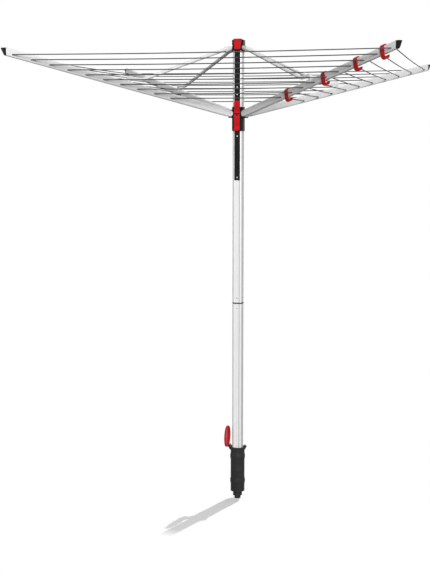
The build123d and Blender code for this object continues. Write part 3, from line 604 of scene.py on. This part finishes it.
def line_height(loop):
    run = (line_radius(loop) - PIN_R - LINE_DROP * math.sin(ARM_RISE)) / math.cos(ARM_RISE)
    return HUB_PIN_Z + run * math.sin(ARM_RISE) - LINE_DROP * math.cos(ARM_RISE)


def half_span(number, side, loop):
    """Control points of one loop from inside an arm to the middle of the span beside it."""
    radius, height = line_radius(loop), line_height(loop)
    out, across = outward(number), sideways(number) * side
    inside = out * radius + UP * height
    corner = inside + across * LINE_REACH
    run = (out + across) * ((radius + LINE_REACH) / 2) + UP * height - corner
    near = corner + run.normalized() * LINE_REACH
    sag = UP * (-LINE_SAG * radius)
    hanging = [corner + run * way + sag * share for way, share in SAG_POINTS]
    return [inside, corner, near, *hanging]


def span_curve(name, routes):
    """One smooth curve through the control points of each route."""
    curve = bpy.data.curves.new(name, "CURVE")
    curve.dimensions = "3D"
    for route in routes:
        spline = curve.splines.new("NURBS")
        spline.points.add(len(route) - 1)
        for point, place in zip(spline.points, route):
            point.co = (*place, 1.0)
        spline.order_u = 3
        spline.use_endpoint_u = True
        spline.resolution_u = LINE_STEPS
    return curve


def folded_share(loops):
    """What is left of a half span's spread when its arm stands up, so that it meets its other half."""
    radius = sum(line_radius(loop) for loop in loops) / len(loops)
    height = sum(line_height(loop) for loop in loops) / len(loops)
    level, steep = math.cos(ARM_RISE), math.sin(ARM_RISE)
    out, climb = radius - PIN_R, height - HUB_PIN_Z
    reach = (radius - LINE_REACH) / 2
    along = out * level + climb * steep - reach * level
    above = climb * level - out * steep
    stood = ARM_RISE + FOLD
    room = PIN_R + along * math.cos(stood) - above * math.sin(stood) - LINE_REACH
    return room / (reach + reach * steep * math.sin(stood))


def string_lines(finish):
    """Half spans on both sides of each arm, in place of the frame's line."""
    tree = line_tree()
    values = {"Diameter": LINE_D, "Sides": LINE_SIDES, "Finish": finish}
    for number in ARM_NUMBERS:
        for side, label in ((1, "left"), (-1, "right")):
            for group, loops in enumerate(LINE_GROUPS, start=1):
                name = f"line_{number}_{label}_{group}"
                curve = span_curve(name, [half_span(number, side, loop) for loop in loops])
                piece = grown(name, curve, tree, values)
                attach(piece, f"arm_body_{number}")
                half_span(number, side, loops[0])[1]
                folded_share(loops)
                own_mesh(piece)
                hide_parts("clothesline")


# Fasteners
def turned(name, outline):
    """Closed solid turned about Z from an outline of radius and height, top to bottom."""
    shape = bmesh.new()
    ring = [shape.verts.new((radius, 0.0, height)) for radius, height in outline]
    edges = [shape.edges.new(pair) for pair in zip(ring, ring[1:])]
    bmesh.ops.spin(
        shape,
        geom=ring + edges,
        axis=UP,
        cent=(0.0, 0.0, 0.0),
        angle=2 * math.pi,
        steps=TURNED_STEPS,
        use_duplicate=False,
    )
    bmesh.ops.remove_doubles(shape, verts=shape.verts, dist=MERGE_WITHIN)
    bmesh.ops.recalc_face_normals(shape, faces=shape.faces)
    for face in shape.faces:
        face.smooth = True
    return in_scene(name, mesh_data(name, shape))


def cross_slots():
    """Two crossed bars that are cut out of a screw's face at the origin."""
    bars = bmesh.new()
    for turn in (0.0, math.pi / 2):
        made = bmesh.ops.create_cube(bars, size=1.0)
        bar = Matrix.Diagonal((CROSS_LENGTH, CROSS_WIDTH, 2 * CROSS_DEPTH, 1.0))
        bmesh.ops.transform(bars, matrix=Matrix.Rotation(turn, 4, "Z") @ bar, verts=made["verts"])
    return in_scene("cross_slots", mesh_data("cross_slots", bars))


def flat_screw():
    """Flat screw with a cross recess, looking along +Z, its face at the origin."""
    outline = [
        (0.0, 0.0),
        (SCREW_HEAD_R - SCREW_EDGE, 0.0),
        (SCREW_HEAD_R - 0.2 * SCREW_EDGE, -0.375 * SCREW_EDGE),
        (SCREW_HEAD_R, -SCREW_EDGE),
        (SCREW_HEAD_R, -SCREW_HEAD_H),
        (SCREW_SHANK_R, -SCREW_HEAD_H),
        (SCREW_SHANK_R, -SCREW_LENGTH),
        (0.0, -SCREW_LENGTH),
    ]
    screw = turned("flat_screw", outline)
    cross = cross_slots()
    cut = screw.modifiers.new("recess", "BOOLEAN")
    cut.operation = "DIFFERENCE"
    cut.object = cross
    cut.use_self = True
    mesh = modified_mesh(screw)
    screw.modifiers.remove(cut)
    screw.data = mesh
    bpy.data.objects.remove(cross)
    return screw


def blind_rivet():
    """Domed rivet head with the dimple of its pulled pin, looking along +Z from its seat."""
    outline = [
        (0.0, RIVET_DIMPLE_Z),
        (RIVET_DIMPLE_R, RIVET_DIMPLE_Z),
        *RIVET_DOME,
        (RIVET_HEAD_R, 0.0),
        (RIVET_SHANK_R, 0.0),
        (RIVET_SHANK_R, -RIVET_LENGTH),
        (0.0, -RIVET_LENGTH),
    ]
    return turned("blind_rivet", outline)


def fastener_points(name, places):
    """A point for each fastener, with its turn."""
    data = bpy.data.meshes.new(name)
    data.from_pydata([place for place, _ in places], [], [])
    turns = data.attributes.new("turn", "FLOAT_VECTOR", "POINT")
    for item, (_, turn) in zip(turns.data, places):
        item.vector = turn
    return data


def set_fasteners(finish):
    """The rack's screws and the mast joint's rivets, in place of the frame's plain ones."""
    tree = fastener_tree()
    screws = [
        ((0.0, -RACK_FRONT, height), (TO_FRONT, SCREW_TURN * number, 0.0))
        for number, height in enumerate(RACK_SCREW_HEIGHTS)
    ]
    rivets = [
        ((0.0, side * MAST_FLOOR, SEAM_Z + rise), (-side * TO_FRONT, 0.0, 0.0))
        for rise in (-RIVET_OFFSET, RIVET_OFFSET)
        for side in (-1, 1)
    ]
    for node, shape, places in (
        ("rack_screws", flat_screw(), screws),
        ("joint_rivets", blind_rivet(), rivets),
    ):
        values = {"Fastener": shape, "Finish": finish}
        piece = grown(node + "_set", fastener_points(node, places), tree, values)
        bpy.data.objects.remove(shape)
        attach(piece, "mast")
        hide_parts(node)


# Dressing of the frame's own pieces
def frame_finishes():
    """The finish of each piece of the frame that isn't plain black."""
    mast_metal = anodised_aluminium("mast_aluminium", tuple(UP), MAST_LEVEL, MAST_METAL, mast_painted_shade)
    bright_steel = plated_steel("bright_steel", BRIGHT_STEEL_LEVEL)
    dark_steel = plated_steel("dark_steel", DARK_STEEL_LEVEL)
    red = gloss_red("gloss_red", RED_LEVEL)
    # Darker copies of the same red: painted shade
    cover_red_painted_shade = gloss_red("cover_red_painted_shade", COVER_RED_SHADED_LEVEL)
    hook_red_painted_shade = gloss_red("hook_red_painted_shade", HOOK_RED_SHADED_LEVEL)
    finishes = {
        "lower_mast_tube": mast_metal,
        "upper_mast_tube": mast_metal,
        "ground_socket": moulded_black("socket_black", SOCKET_LEVEL, SOCKET_GLOSS),
        "socket_lid": cover_red_painted_shade,
        "top_cover_plate": cover_red_painted_shade,
        "latch_cover": red,
        "release_lever": red,
        "arm_hinge_pins": bright_steel,
        "strut_top_pins": bright_steel,
        "line_stops": bright_steel,
        "lever_pin": dark_steel,
        "lid_hinge_pin": dark_steel,
        "latch_pawl": dark_steel,
        "latch_spring": dark_steel,
    }
    for number in ARM_NUMBERS:
        arm_metal = anodised_aluminium(
            f"arm_aluminium_{number}", tuple(arm_axis(number)), ARM_LEVEL, ARM_METAL
        )
        strut_metal = anodised_aluminium(
            f"strut_aluminium_{number}",
            tuple(strut_axis(number)),
            STRUT_LEVEL,
            STRUT_METAL,
            strut_painted_shade(number),
        )
        finishes[f"arm_{number}"] = arm_metal
        finishes[f"strut_{number}"] = strut_metal
        finishes[f"strut_bracket_{number}"] = arm_metal
        finishes[f"strut_bracket_pins_{number}"] = bright_steel
        finishes[f"hanger_hook_{number}"] = hook_red_painted_shade
    return finishes


def dress_frame():
    """Give each piece of the frame its finish."""
    black = moulded_black("moulded_black", BLACK_LEVEL, BLACK_GLOSS)
    finishes = frame_finishes()
    for name, piece in NODES.items():
        slots = piece.data.materials
        slots.clear()
        slots.append(finishes.get(name, black))


# Studio
def studio_floor():
    """Pale floor that takes the shadow near the object and runs out into white."""
    half = FLOOR_HALF
    corners = [(-half, -half, 0.0), (half, -half, 0.0), (half, half, 0.0), (-half, half, 0.0)]
    data = bpy.data.meshes.new("floor")
    data.from_pydata(corners, [], [(0, 1, 2, 3)])
    floor = in_scene("floor", data)
    finish = new_finish("pale_floor")
    seen = finish.seen()
    away = finish.vector("DISTANCE", finish.coordinates(), SHADOW_MIDDLE, output="Value")
    far = away.rise(SHADOW_NEAR, SHADOW_FAR)
    level = FLOOR_BOUNCE + (FLOOR_LEVEL - FLOOR_BOUNCE) * seen
    matt = finish.node("ShaderNodeBsdfDiffuse", inputs={"Color": level})
    fill = finish.white("ShaderNodeEmission", FLOOR_FILL * seen)
    near = finish.node("ShaderNodeAddShader", inputs={0: matt, 1: fill})
    both = finish.either(far * seen, near, finish.white("ShaderNodeEmission", 1.0))
    finish.node("ShaderNodeOutputMaterial", inputs={"Surface": both})
    data.materials.append(finish.owner)


def studio_world():
    """Even room light, and white wherever the world itself is seen."""
    world = bpy.data.worlds.new("studio")
    bpy.context.scene.world = world
    sky = Finish(world)
    room = sky.white("ShaderNodeBackground", ROOM_LIGHT)
    both = sky.either(sky.seen(), room, sky.white("ShaderNodeBackground", 1.0))
    sky.node("ShaderNodeOutputWorld", inputs={"Surface": both})


def stand(name, data, place, look):
    """Put a lamp or the camera in its place, looking along a direction."""
    holder = in_scene(name, data)
    holder.location = place
    holder.rotation_euler = Vector(look).to_track_quat("-Z", "Y").to_euler()
    return holder


def studio_lamps():
    for name, (place, target, width, power) in LAMPS.items():
        lamp = bpy.data.lights.new(name, "AREA")
        lamp.shape = "DISK"
        lamp.size = width
        lamp.energy = power
        stand(name, lamp, place, Vector(target) - Vector(place))


def studio_camera():
    camera = bpy.data.cameras.new("camera")
    camera.lens = CAMERA_LENS
    camera.sensor_width = CAMERA_SENSOR
    bpy.context.scene.camera = stand("camera", camera, CAMERA_PLACE, CAMERA_LOOK)
    bpy.context.scene.view_settings.view_transform = "Standard"


dress_frame()
string_lines(coated_line())
set_fasteners(plated_steel("screw_steel", SCREW_STEEL_LEVEL))
studio_floor()
studio_world()
studio_lamps()
studio_camera()
